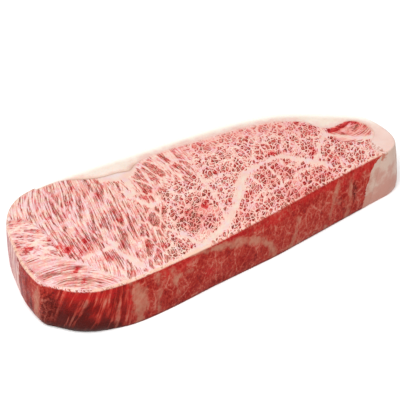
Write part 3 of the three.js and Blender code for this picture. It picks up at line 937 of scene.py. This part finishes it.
# %% Node helper
class Wires:
    def __init__(self, tree):
        self.tree = tree

    def fill(self, node, inputs):
        for name, value in inputs.items():
            if isinstance(value, bpy.types.NodeSocket):
                self.tree.links.new(value, node.inputs[name])
            else:
                node.inputs[name].default_value = value
        return node

    def node(self, kind, inputs=None, **settings):
        node = self.tree.nodes.new("ShaderNode" + kind)
        for name, value in settings.items():
            setattr(node, name, value)
        return self.fill(node, inputs or {})

    def group(self, tree, inputs):
        node = self.tree.nodes.new("ShaderNodeGroup")
        node.node_tree = tree
        return self.fill(node, inputs).outputs

    def give(self, value, socket):
        self.tree.links.new(value, socket)

    def kept(self, name, output="Fac"):
        return self.node("Attribute", attribute_name=name).outputs[output]

    def millimetres(self):
        """Object coordinates in millimetres."""
        return self.scaled(self.node("TexCoord").outputs["Object"], 1 / MM)

    # numbers
    def maths(self, operation, a, b=0.0, clamp=False):
        return self.node("Math", {0: a, 1: b}, operation=operation, use_clamp=clamp).outputs[0]

    def plus(self, first, *others):
        for other in others:
            first = self.maths("ADD", first, other)
        return first

    def times(self, first, *others):
        for other in others:
            first = self.maths("MULTIPLY", first, other)
        return first

    def rest(self, value):
        """1 less the value."""
        return self.maths("SUBTRACT", 1.0, value)

    def off(self, value, middle):
        """How far the value is from the middle, either way."""
        return self.maths("ABSOLUTE", self.maths("SUBTRACT", value, middle))

    def ramp(self, value, low, high, start=0.0, end=1.0):
        """Smooth rise from start to end while the value goes from low to high."""
        limits = {"From Min": low, "From Max": high, "To Min": start, "To Max": end}
        rise = self.node("MapRange", limits, interpolation_type="SMOOTHSTEP")
        return self.fill(rise, {"Value": value}).outputs[0]

    def sway(self, noise, amount):
        """A noise turned into a number between minus and plus the amount."""
        return self.ramp(noise, 0.3, 0.7, -amount, amount)

    def frayed(self, name, noise, amount):
        """What the mesh keeps under the name, swayed by a noise, so its borders aren't clean."""
        return self.plus(self.kept(name), self.sway(noise, amount))

    def between(self, factor, a, b):
        return self.node("Mix", {0: factor, 2: a, 3: b}, data_type="FLOAT").outputs[0]

    # places
    def vectors(self, operation, a, b, output="Vector"):
        return self.node("VectorMath", {0: a, 1: b}, operation=operation).outputs[output]

    def scaled(self, place, amount):
        scale = {0: place, "Scale": amount}
        return self.node("VectorMath", scale, operation="SCALE").outputs["Vector"]

    def stretched(self, place, size):
        return self.node("Mapping", {0: place, "Scale": size}, vector_type="POINT").outputs[0]

    # colours
    def blend(self, factor, a, b):
        return self.node("Mix", {0: factor, 6: a, 7: b}, data_type="RGBA").outputs[2]

    def colours(self, value, stops):
        """A colour ramp with the given (position, colour) stops."""
        node = self.node("ValToRGB", {"Fac": value})
        while len(node.color_ramp.elements) < len(stops):
            node.color_ramp.elements.new(0.5)
        for element, (position, colour) in zip(node.color_ramp.elements, stops):
            element.position = position
            element.color = (*colour, 1)
        return node.outputs["Color"]

    # patterns
    def noise(self, place, scale, detail=2.0, roughness=0.5, distortion=0.0, output="Fac"):
        settings = {"Vector": place, "Scale": scale, "Detail": detail}
        settings |= {"Roughness": roughness, "Distortion": distortion}
        return self.node("TexNoise", settings).outputs[output]

    def wavered(self, place, scale, detail, amount):
        """The place, moved about by a noise."""
        wander = self.noise(place, scale, detail, output="Color")
        return self.vectors("ADD", place, self.scaled(wander, amount))

    def to_cell_edge(self, place, scale=1.0):
        """Distance to the nearest border of a Voronoi cell."""
        settings = {"Vector": place, "Scale": scale}
        return self.node("TexVoronoi", settings, feature="DISTANCE_TO_EDGE").outputs["Distance"]


def new_group(name, inputs, outputs):
    """A node group with named sockets: {name: (kind, default)} in, and {name: kind} out."""
    group = bpy.data.node_groups.new(name, "ShaderNodeTree")
    for label, (kind, default) in inputs.items():
        socket = group.interface.new_socket(label, in_out="INPUT", socket_type="NodeSocket" + kind)
        if default is not None:
            socket.default_value = default
    for label, kind in outputs.items():
        group.interface.new_socket(label, in_out="OUTPUT", socket_type="NodeSocket" + kind)
    given, out = group.nodes.new("NodeGroupInput"), group.nodes.new("NodeGroupOutput")
    return group, Wires(group), given.outputs, out.inputs


print("node helper ready")

# %% [markdown]
# Moist cut surface, for both materials
#
# Fresh meat and fat share a skin of moisture: fine grain from the knife, and wetter and drier
# patches. It is one node group with named inputs, so that lean and fat use the same moisture at
# their own strength. It gives a height for a Bump node, a roughness, and a wetness for the coat,
# but no shader.

# %% Moist surface group
moist, w, given, out = new_group(
    "moist cut surface",
    {"Place": ("Vector", None), "Grain": ("Float", 0.5), "Dryness": ("Float", 0.4)},
    {"Height": "Float", "Roughness": "Float", "Wetness": "Float"},
)
fine = w.noise(given["Place"], 1.4, 3.0, 0.6)
coarse = w.noise(given["Place"], 0.16, 2.0, 0.5)
w.give(w.plus(w.times(fine, given["Grain"]), w.times(coarse, 0.6)), out["Height"])
patchy = w.ramp(coarse, 0.35, 0.65, -0.09, 0.09)
w.give(w.plus(given["Dryness"], patchy, w.sway(fine, 0.05)), out["Roughness"])
w.give(w.ramp(coarse, 0.35, 0.7, 0.06, 0.01), out["Wetness"])
print("group:", moist.name)

# %% [markdown]
# The start and the end of a material
#
# Each material has one Principled shader, which takes roughness, coat and bump from the moist
# surface. Two helpers start a material and finish it, so the cells in between hold nothing but
# its colours.

# %% Material helpers
BUMP_DISTANCE = 0.4 * MM


def new_material(name):
    material = bpy.data.materials.new(name)
    material.use_nodes = True
    material.node_tree.nodes.clear()
    return material, Wires(material.node_tree)


def moist_shader(w, place, colour, grain, dryness, raised, bump_strength, settings):
    """The shader and the output. The raised heights are added to the group's before the bump."""
    damp = w.group(moist, {"Place": place, "Grain": grain, "Dryness": dryness})
    relief = {"Height": w.plus(damp["Height"], *raised), "Strength": bump_strength}
    bump = w.node("Bump", {**relief, "Distance": BUMP_DISTANCE}).outputs["Normal"]
    shader = w.node("BsdfPrincipled", {"Base Color": colour, "Normal": bump, **settings})
    w.fill(shader, {"Roughness": damp["Roughness"], "Coat Weight": damp["Wetness"]})
    w.node("OutputMaterial", {"Surface": shader.outputs[0]})


print("bump over", round(BUMP_DISTANCE / MM, 1), "mm")

# %% [markdown]
# Fat, for both materials
#
# The fat between the muscles is the same stuff as the fat outside them, but the thin seams take
# on the blood's pink. One group makes the colour from a pinkness input, with cloudy cream patches
# and a few fine threads. A second input darkens it with painted shade for the walls, greyer at the
# top and redder at the foot. Both materials use the group with values of their own.

# %% Fat colour group
fat_tone, w, given, out = new_group(
    "fat tone",
    {"Place": ("Vector", None), "Pinkness": ("Float", 0.0), "Painted wall shade": ("Float", 0.0)},
    {"Color": "Color"},
)
cloud = w.ramp(w.noise(given["Place"], 0.09, 3.0, 0.55), 0.35, 0.65)
thread = w.noise(w.stretched(given["Place"], (0.5, 0.5, 0.12)), 1.0, 2.0, 0.6, 0.6)
cream = w.blend(cloud, (0.665, 0.555, 0.47, 1), (0.70, 0.60, 0.53, 1))
cream = w.blend(w.ramp(thread, 0.52, 0.7, 0.0, 0.35), cream, (0.65, 0.48, 0.39, 1))
pink = w.blend(cloud, (0.655, 0.42, 0.375, 1), (0.67, 0.47, 0.425, 1))
# Painted shade for the walls: darker fat, greyer at the top and redder at the foot.
height = w.node("SeparateXYZ", {0: given["Place"]}).outputs["Z"]
height = w.plus(height, w.sway(w.noise(given["Place"], 0.12, 3.0, 0.6), 10.0))
at_foot = w.ramp(height, 6.0, 26.0, 1.0, 0.0)
painted_wall_shade = w.blend(at_foot, (0.455, 0.315, 0.25, 1), (0.375, 0.155, 0.112, 1))
w.give(w.blend(given["Painted wall shade"], w.blend(given["Pinkness"], cream, pink), painted_wall_shade), out["Color"])
print("group:", fat_tone.name)

# %% [markdown]
# Marbling
#
# Lean comes in bundles, and fat lies between them. Where the knife runs along the bundles, they
# are streaks: soft patches of lean, combed by fine hairs, and thin dark strands, which are the
# wet skins of single bundles. A strand is the middle line of a smooth noise, and a skin is the
# border between two Voronoi cells. Where the knife meets the bundles end on, each is a small
# cell, a rosy core in a dark ring, with painted shadow widening the ring on its lower side. The
# Cells input mixes the two. A Voronoi web with larger cells adds the pale threads that gather
# bundles into lobules. Sizes along, across and down the fibres are inputs, so one group gives
# long streaks, short strokes and round cells.

# %% Marbling group: the bundles
marbling, w, given, out = new_group(
    "marbling",
    {"Grain": ("Vector", None), "Bundle": ("Vector", (1.0, 1.0, 1.0)),
     "Lobule": ("Vector", (1.0, 1.0, 1.0)), "Web": ("Float", 1.0), "Cells": ("Float", 0.0),
     "Lean": ("Float", 0.0)},
    {"Redness": "Float"},
)
bundles = w.wavered(w.vectors("DIVIDE", given["Grain"], given["Bundle"]), 0.45, 1.0, 1.5)
clusters = w.sway(w.noise(w.stretched(given["Grain"], (0.06, 0.14, 0.06)), 1.0, 2.0), 0.085)
level = w.plus(w.noise(bundles, 1.0, 2.0, 0.5), clusters, given["Lean"])
fine = w.noise(bundles, 2.3, 1.0)
hair = w.ramp(w.off(fine, 0.5), 0.01, 0.08, 0.30, 0.0)
print("bundles:", len(marbling.nodes), "nodes")

# %% Marbling group: streaks
comb = w.ramp(w.off(fine, 0.5), 0.02, 0.11, 1.45, 0.5)
fill = w.times(w.ramp(level, 0.42, 0.66, 0.02, 0.38), comb)
broken = w.ramp(w.noise(bundles, 0.55, 1.0), 0.36, 0.56, 0.25, 1.0)
edge = w.times(w.ramp(w.off(level, 0.54), 0.012, 0.065, 0.44, 0.0), broken, 0.75)
skin = w.plus(w.to_cell_edge(bundles, 0.62), w.sway(fine, 0.05))
skin = w.ramp(skin, 0.03, 0.16, w.ramp(level, 0.36, 0.56, 0.08, 0.60), 0.0)
strand = w.off(w.noise(w.stretched(bundles, (0.5, 0.62, 0.5)), 1.0, 1.0), 0.5)
strand = w.ramp(strand, 0.015, 0.085, w.ramp(level, 0.34, 0.54, 0.22, 0.62), 0.0)
skin = w.maths("MAXIMUM", w.times(skin, 0.7), strand)
streaks = w.plus(w.maths("MAXIMUM", fill, skin), edge, w.times(hair, 0.6))
print("with streaks:", len(marbling.nodes), "nodes")

# %% Marbling group: cells
rim = w.plus(w.to_cell_edge(bundles, 0.8), w.sway(fine, 0.025))
core = w.ramp(rim, 0.06, 0.15, 0.04, w.ramp(level, 0.38, 0.62, 0.24, 0.56))
middle = w.node("TexVoronoi", {"Vector": bundles, "Scale": 0.8}).outputs["Position"]
away = w.vectors("SUBTRACT", bundles, middle)
# The ring's dark is the bundle's own skin; widening it on one side is painted shadow.
low_side = w.vectors("DOT_PRODUCT", away, (-1.0, 0.6, 0.0), output="Value")
painted_shadow_widening = w.ramp(low_side, -0.45, 0.35, 0.35, 1.25)
ring = w.ramp(w.off(rim, 0.175), 0.03, 0.10, 0.86, 0.0)
ring = w.times(ring, painted_shadow_widening, w.ramp(level, 0.34, 0.48, 0.35, 1.0))
cells = w.plus(core, ring, w.times(hair, 0.25))
print("with cells:", len(marbling.nodes), "nodes")

# %% Marbling group: lobules and result
lobules = w.wavered(w.vectors("DIVIDE", given["Grain"], given["Lobule"]), 1.1, 2.0, 0.55)
thread = w.times(w.ramp(w.to_cell_edge(lobules), 0.03, 0.10, 1.0, 0.0), given["Web"])
tone = w.between(given["Cells"], streaks, cells)
w.give(w.maths("MULTIPLY", tone, w.rest(thread), clamp=True), out["Redness"])
print("group:", marbling.name)

# %% [markdown]
# The lean's material: how much lean
#
# The marbling group is placed three times, as long streaks, short strokes and round cells, and
# the three are mixed by zone. What comes out is one number, from 0 for pure fat to 1 for pure
# lean. The muscle's broad parts, the flushes and the fat seams then push it up and down. The
# seams get a ragged edge from noise, so that the lines drawn earlier don't look drawn.

# %% Lean material: redness of the cut face
lean_material, w = new_material("marbled lean")
place = w.millimetres()
grain = w.kept("grain", "Vector")
web = w.ramp(w.kept("wall"), 0.0, 1.0, 0.75, 0.4)


def marbled(bundle, lobule, web, cells, lean):
    """The marbling group's redness with bundles and lobules of these sizes in millimetres."""
    sizes = {"Grain": grain, "Bundle": bundle, "Lobule": lobule}
    return w.group(marbling, {**sizes, "Web": web, "Cells": cells, "Lean": lean})["Redness"]


long_red = marbled((12.0, 1.05, 12.0), (34.0, 7.0, 30.0), 0.6, cells=0.0, lean=0.0)
short_red = marbled((6.4, 1.25, 5.0), (19.0, 7.0, 14.0), web, cells=0.25, lean=0.03)
round_red = marbled((2.7, 2.2, 2.7), (11.5, 8.0, 9.0), web, cells=0.9, lean=0.05)
cloud = w.noise(place, 0.30, 2.0, 0.6)
speck = w.noise(place, 1.1, 1.0)
swirl = w.noise(place, 0.2, 3.0, 0.6)
in_cells = w.ramp(w.frayed("lobed", cloud, 0.25), 0.42, 0.55)
in_short = w.ramp(w.frayed("short", cloud, 0.25), 0.42, 0.55)
redness = w.between(in_cells, w.between(in_short, long_red, short_red), round_red)


def calmed(redness, zone, loss, gain):
    """Less contrast within a zone: a share of the redness is lost there, and a little is added."""
    kept_share = w.rest(w.times(w.kept(zone), loss))
    return w.plus(w.times(redness, kept_share), w.times(w.kept(zone), gain))


redness = calmed(redness, "soft", 0.42, 0.10)
redness = calmed(redness, "tail", 0.14, 0.05)
redness = w.times(w.plus(redness, w.kept("part"), -0.04), 1.12)
redness = w.times(redness, w.rest(w.times(w.kept("corner"), w.ramp(swirl, 0.42, 0.56, 0.6, 0.0))))
flush = w.plus(w.kept("flush"), w.ramp(speck, 0.3, 0.7, -0.28, 0.12))
fleck = w.noise(w.stretched(grain, (0.35, 1.0, 0.4)), 1.0, 1.0)
deep_flush = w.times(w.ramp(flush, 0.45, 1.0, 0.0, 0.26), w.ramp(fleck, 0.38, 0.52, 0.25, 1.0))
redness = w.plus(redness, w.times(flush, 0.20), w.times(w.kept("end_muscle"), 0.14))
redness = w.maths("ADD", redness, deep_flush, clamp=True)
ragged = w.noise(w.stretched(grain, (0.18, 0.6, 0.18)), 1.0, 3.0, 0.65)
ragged = w.frayed("seam_mm", ragged, 1.3)
in_seam = w.ramp(ragged, -0.6, 0.7, w.ramp(cloud, 0.35, 0.6, 0.80, 0.97), 0.0)
redness = w.times(redness, w.rest(in_seam))
print("redness:", len(lean_material.node_tree.nodes), "nodes")

# %% [markdown]
# The lean's material: colour of the cut face
#
# The number becomes a colour by two ramps from pale fat to deep red, one dull and brownish, the
# other vivid and rosy. Real meat changes between them from bundle to bundle, and grows rosier
# towards the narrow end. A last, very faint tint swings between lilac and cream, as fat and
# moisture do. One ramp with a noise on its brightness would be simpler, but looks printed.

# %% Lean material: colour of the cut face
dull = w.colours(redness, [
    (0.0, (0.700, 0.575, 0.505)), (0.12, (0.650, 0.450, 0.395)), (0.28, (0.610, 0.335, 0.285)),
    (0.42, (0.520, 0.250, 0.205)), (0.53, (0.430, 0.185, 0.150)), (0.64, (0.335, 0.132, 0.102)),
    (0.75, (0.255, 0.088, 0.065)), (0.86, (0.210, 0.055, 0.037)), (1.0, (0.140, 0.026, 0.018)),
])
vivid = w.colours(redness, [
    (0.0, (0.700, 0.485, 0.440)), (0.12, (0.680, 0.370, 0.335)), (0.28, (0.650, 0.265, 0.240)),
    (0.42, (0.620, 0.175, 0.158)), (0.53, (0.540, 0.122, 0.108)), (0.64, (0.460, 0.082, 0.070)),
    (0.75, (0.370, 0.046, 0.039)), (0.86, (0.315, 0.021, 0.018)), (1.0, (0.260, 0.006, 0.006)),
])
blood_red = w.colours(redness, [
    (0.0, (0.64, 0.22, 0.20)), (0.5, (0.52, 0.040, 0.040)), (1.0, (0.26, 0.004, 0.006)),
])
far_along = w.node("SeparateXYZ", {0: place}).outputs["X"]
rosy = w.plus(
    w.ramp(redness, 0.40, 0.75, 0.0, -0.08), w.ramp(far_along, -70.0, 40.0, 0.0, 0.09),
    w.times(cloud, 0.7), w.times(speck, 0.3),
)
face_colour = w.blend(w.ramp(rosy, 0.40, 0.56), dull, vivid)
bloody = w.times(w.ramp(flush, 0.1, 0.7, 0.0, 0.95), w.ramp(redness, 0.15, 0.40))
face_colour = w.blend(bloody, face_colour, blood_red)
seam_colour = w.group(fat_tone, {"Place": place, "Pinkness": 0.9})["Color"]
whiter = w.ramp(w.noise(place, 0.085, 2.0), 0.44, 0.58)
whiter = w.times(w.ramp(ragged, -2.6, -0.9, 0.65, 0.0), whiter)
seam_colour = w.blend(whiter, seam_colour, (0.625, 0.575, 0.500, 1))
face_colour = w.blend(w.ramp(ragged, -2.0, 0.2, 0.85, 0.0), face_colour, seam_colour)
tint = w.ramp(w.plus(swirl, w.ramp(far_along, -80.0, -30.0, 0.03, -0.06)), 0.40, 0.62)
tint = w.blend(tint, (1.0, 1.01, 0.95, 1), (0.98, 0.965, 1.07, 1))
tinted = w.node("Mix", {0: 1.0, 6: face_colour, 7: tint}, data_type="RGBA", blend_type="MULTIPLY")
face_colour = tinted.outputs[2]
print("cut face:", len(lean_material.node_tree.nodes), "nodes")

# %% [markdown]
# The lean's material: the walls
#
# The walls have darkened and show a pattern of their own: a fine net of pale veins round the
# bundles, a coarser one round the lobules, and long streaks near the broad end's corner. Over it
# lie, in this order, the dark places, those low at the foot being painted shade, the fresh red
# ones, the fat seams, the painted shade of the foot, the sheath and the sawn fat, darkened with
# painted shade. Each is a mask from the mesh, and all but the foot's are frayed by noise, so that
# their borders aren't clean lines.

# %% Lean material: wall pattern
down_wall = w.kept("wall_grain", "Vector")
bundle_place = w.wavered(down_wall, 0.22, 2.0, 2.2)
bundle_edge = w.to_cell_edge(w.stretched(bundle_place, (0.4, 0.42, 0.28)))
lobule_edge = w.to_cell_edge(w.stretched(bundle_place, (0.1, 0.10, 0.06)))
mottle = w.noise(w.stretched(bundle_place, (0.6, 0.6, 0.4)), 1.0, 3.0, 0.65)
veins = w.ramp(bundle_edge, 0.01, 0.13, -0.24, 0.0)
wide_veins = w.ramp(lobule_edge, 0.01, 0.05, -0.30, 0.0)
netted = w.plus(veins, wide_veins, 0.56, w.sway(mottle, 0.24))
streaks = w.noise(w.stretched(down_wall, (0.3, 0.42, 0.035)), 1.0, 3.0, 0.6)
streaks = w.ramp(streaks, 0.36, 0.58, 0.05, 0.95)
wall_tone = w.between(w.kept("streaky"), netted, streaks)
wall_tone = w.maths("ADD", wall_tone, w.sway(w.noise(bundle_place, 0.09, 2.0), 0.20), clamp=True)
wall_colour = w.colours(wall_tone, [
    (0.0, (0.415, 0.115, 0.080)), (0.2, (0.370, 0.058, 0.038)), (0.45, (0.315, 0.024, 0.014)),
    (0.72, (0.245, 0.009, 0.006)), (1.0, (0.145, 0.004, 0.0025)),
])
print("wall pattern:", len(lean_material.node_tree.nodes), "nodes")

# %% Lean material: what lies over the wall pattern
# The dark places: painted shade where they lie low at the foot, a deeper crimson of the wall higher
# up.
shade = w.ramp(w.frayed("shade", mottle, 0.2), 0.1, 0.9)
shade = w.times(shade, w.ramp(wall_tone, 0.1, 0.7, 0.55, 0.95))
wall_colour = w.blend(shade, wall_colour, (0.060, 0.0030, 0.0016, 1))
mottled, clouded = w.ramp(mottle, 0.3, 0.7, -0.30, 0.15), w.ramp(cloud, 0.3, 0.7, -0.35, 0.2)
fresh = w.plus(w.kept("flush"), mottled, clouded)
fresh_red = w.blend(w.ramp(wall_tone, 0.3, 0.7), (0.400, 0.017, 0.013, 1), (0.310, 0.006, 0.006, 1))
wall_colour = w.blend(w.ramp(fresh, 0.10, 0.80, 0.0, 0.85), wall_colour, fresh_red)
soft_edge = w.noise(w.stretched(bundle_place, (0.25, 0.25, 0.12)), 1.0, 3.0, 0.5)
soft_edge = w.frayed("seam_mm", soft_edge, 1.6)
wall_seam = w.times(w.ramp(soft_edge, -2.0, 1.4, 1.0, 0.0), w.ramp(cloud, 0.35, 0.65, 0.50, 0.85))
wall_colour = w.blend(wall_seam, wall_colour, (0.385, 0.160, 0.105, 1))
# Painted shade at the foot, blended towards near black.
wall_colour = w.blend(w.kept("foot_shade"), wall_colour, (0.035, 0.006, 0.004, 1))
lilac = w.ramp(streaks, 0.45, 0.85, 0.0, 0.75)
sheath_colour = w.group(fat_tone, {"Place": place, "Pinkness": 0.9})["Color"]
sheath_colour = w.blend(lilac, sheath_colour, (0.42, 0.150, 0.165, 1))
on_sheath = w.ramp(w.frayed("sheath", cloud, 0.3), 0.3, 0.7, 0.0, 0.85)
wall_colour = w.blend(on_sheath, wall_colour, sheath_colour)
# The sawn fat on the narrow end's wall is darkened with painted shade, as on the back fat's walls.
sawn_fat_in_painted_shade = w.group(fat_tone, {"Place": place, "Pinkness": 0.5, "Painted wall shade": 0.9})["Color"]
on_fat = w.ramp(w.frayed("wall_fat", cloud, 0.3), 0.35, 0.6)
wall_colour = w.blend(on_fat, wall_colour, sawn_fat_in_painted_shade)
print("walls:", len(lean_material.node_tree.nodes), "nodes")

# %% Lean material: all together
colour = w.blend(w.kept("wall"), face_colour, wall_colour)
colour = w.blend(w.times(w.kept("blush"), 0.9), colour, seam_colour)
pale_edge = w.times(w.kept("edge"), w.ramp(cloud, 0.35, 0.6, 0.4, 0.95))
colour = w.blend(pale_edge, colour, (0.660, 0.430, 0.315, 1))
# Painted shade in the crease between lean and fat.
colour = w.blend(w.times(w.kept("crease"), 0.5), colour, (0.30, 0.15, 0.08, 1))
moist_shader(
    w, place, colour, grain=0.5, dryness=0.42, raised=[w.times(redness, -0.5)], bump_strength=0.35,
    settings={"Coat Roughness": 0.25, "Specular IOR Level": 0.04},
)
lean.data.materials.append(lean_material)
print("lean material:", len(lean_material.node_tree.nodes), "nodes")

# %% [markdown]
# The back fat's material
#
# Firm back fat is creamy white and waxy, with a pink blush in the last millimetres before the
# lean and a dry, bleached outer edge. It lets some light in, so a little subsurface light softens
# it. The walls are painted darker, greyer and pinker, as painted shade, and where lean, fat and rim
# meet on the near wall, blood has stained it.

# %% Back fat material
fat_material, w = new_material("back fat")
place = w.millimetres()
near_lean = w.frayed("lean_mm", w.noise(place, 0.25, 2.0), 1.5)
near_lean = w.ramp(near_lean, 0.0, 4.5, 0.9, 0.0)
pinkness = w.maths("MAXIMUM", near_lean, w.times(w.kept("narrow_end"), 0.7))
# On the walls the fat is darkened with painted shade.
painted_wall_shade = w.times(w.kept("wall"), 0.9)
colour = w.group(fat_tone, {"Place": place, "Pinkness": pinkness, "Painted wall shade": painted_wall_shade})["Color"]
bleached = w.times(
    w.ramp(w.kept("outer_mm"), 1.0, 7.0, 1.0, 0.0),
    w.rest(w.maths("MAXIMUM", w.kept("wall"), w.kept("narrow_end"))),
)
colour = w.blend(bleached, colour, (0.84, 0.825, 0.765, 1))
# Painted shade in the crease between lean and fat.
colour = w.blend(w.times(w.kept("crease"), 0.45), colour, (0.42, 0.27, 0.16, 1))
stained = w.frayed("stain", w.noise(place, 0.6, 2.0), 0.25)
stained = w.ramp(stained, 0.35, 0.8, 0.0, 0.85)
colour = w.blend(stained, colour, (0.36, 0.085, 0.045, 1))
moist_shader(
    w, place, colour, grain=0.35, dryness=0.46, raised=[], bump_strength=0.3,
    settings={
        "Coat Roughness": 0.3, "Specular IOR Level": 0.3, "Subsurface Weight": 0.12,
        "Subsurface Radius": (1.0, 0.6, 0.4), "Subsurface Scale": 0.003,
    },
)
back_fat.data.materials.append(fat_material)
print("back fat material:", len(fat_material.node_tree.nodes), "nodes")

# %% [markdown]
# Joining the pieces to the imported model
#
# Each new piece rides on the imported body and stands in for one imported node.

# %% Ride, replace
for piece, node, slot in ((lean, "lean", "marbled_lean"), (back_fat, "fat_cap", "back_fat")):
    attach(piece, "root")
    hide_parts(node)
    low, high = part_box(node)
    print(piece.name, "stands in for", node, "of box", [round(v * 1000, 1) for v in (*low, *high)])


# %% [markdown]
# Floor and light
#
# The photograph has a clean white ground and soft light from above, with hardly any shadow. A
# wide pale floor, a bright even sky and one large soft lamp above the viewer, a little to the
# left, give that: the upper face and the broad end are brightest, and the near wall is in a soft
# half light. A small hard lamp would draw a dark shadow, and put sharp glints on the moist meat.

# %% Floor
half = 6.0
floor_corners = [(-half, -half, 0), (half, -half, 0), (half, half, 0), (-half, half, 0)]
floor_mesh = bpy.data.meshes.new("floor")
floor_mesh.from_pydata(floor_corners, [], [(0, 1, 2, 3)])
floor = bpy.data.objects.new("floor", floor_mesh)
bpy.context.scene.collection.objects.link(floor)
floor_material = bpy.data.materials.new("pale floor")
floor_material.use_nodes = True
paper = floor_material.node_tree.nodes["Principled BSDF"]
paper.inputs["Base Color"].default_value = (0.96, 0.96, 0.96, 1)
paper.inputs["Roughness"].default_value = 0.9
paper.inputs["Specular IOR Level"].default_value = 0.1
floor_mesh.materials.append(floor_material)
print("floor", 2 * half, "m wide")

# %% Light
world = bpy.data.worlds.new("studio")
world.use_nodes = True
sky = world.node_tree.nodes["Background"]
sky.inputs["Color"].default_value = (1.0, 0.995, 0.985, 1)
sky.inputs["Strength"].default_value = 0.6
bpy.context.scene.world = world


def soft_lamp(name, place, aim, size, power):
    """A square area lamp turned to face a point."""
    light = bpy.data.lights.new(name, "AREA")
    light.size, light.energy = size, power
    lamp = bpy.data.objects.new(name, light)
    bpy.context.scene.collection.objects.link(lamp)
    lamp.location = place
    lamp.rotation_euler = (Vector(place) - Vector(aim)).to_track_quat("Z", "Y").to_euler()
    return lamp


soft_lamp("softbox above the viewer", (-0.72, -0.52, 1.4), aim=(0, 0, 0), size=1.6, power=34.0)
bpy.context.scene.view_settings.view_transform = "Standard"
print("world strength", sky.inputs["Strength"].default_value)
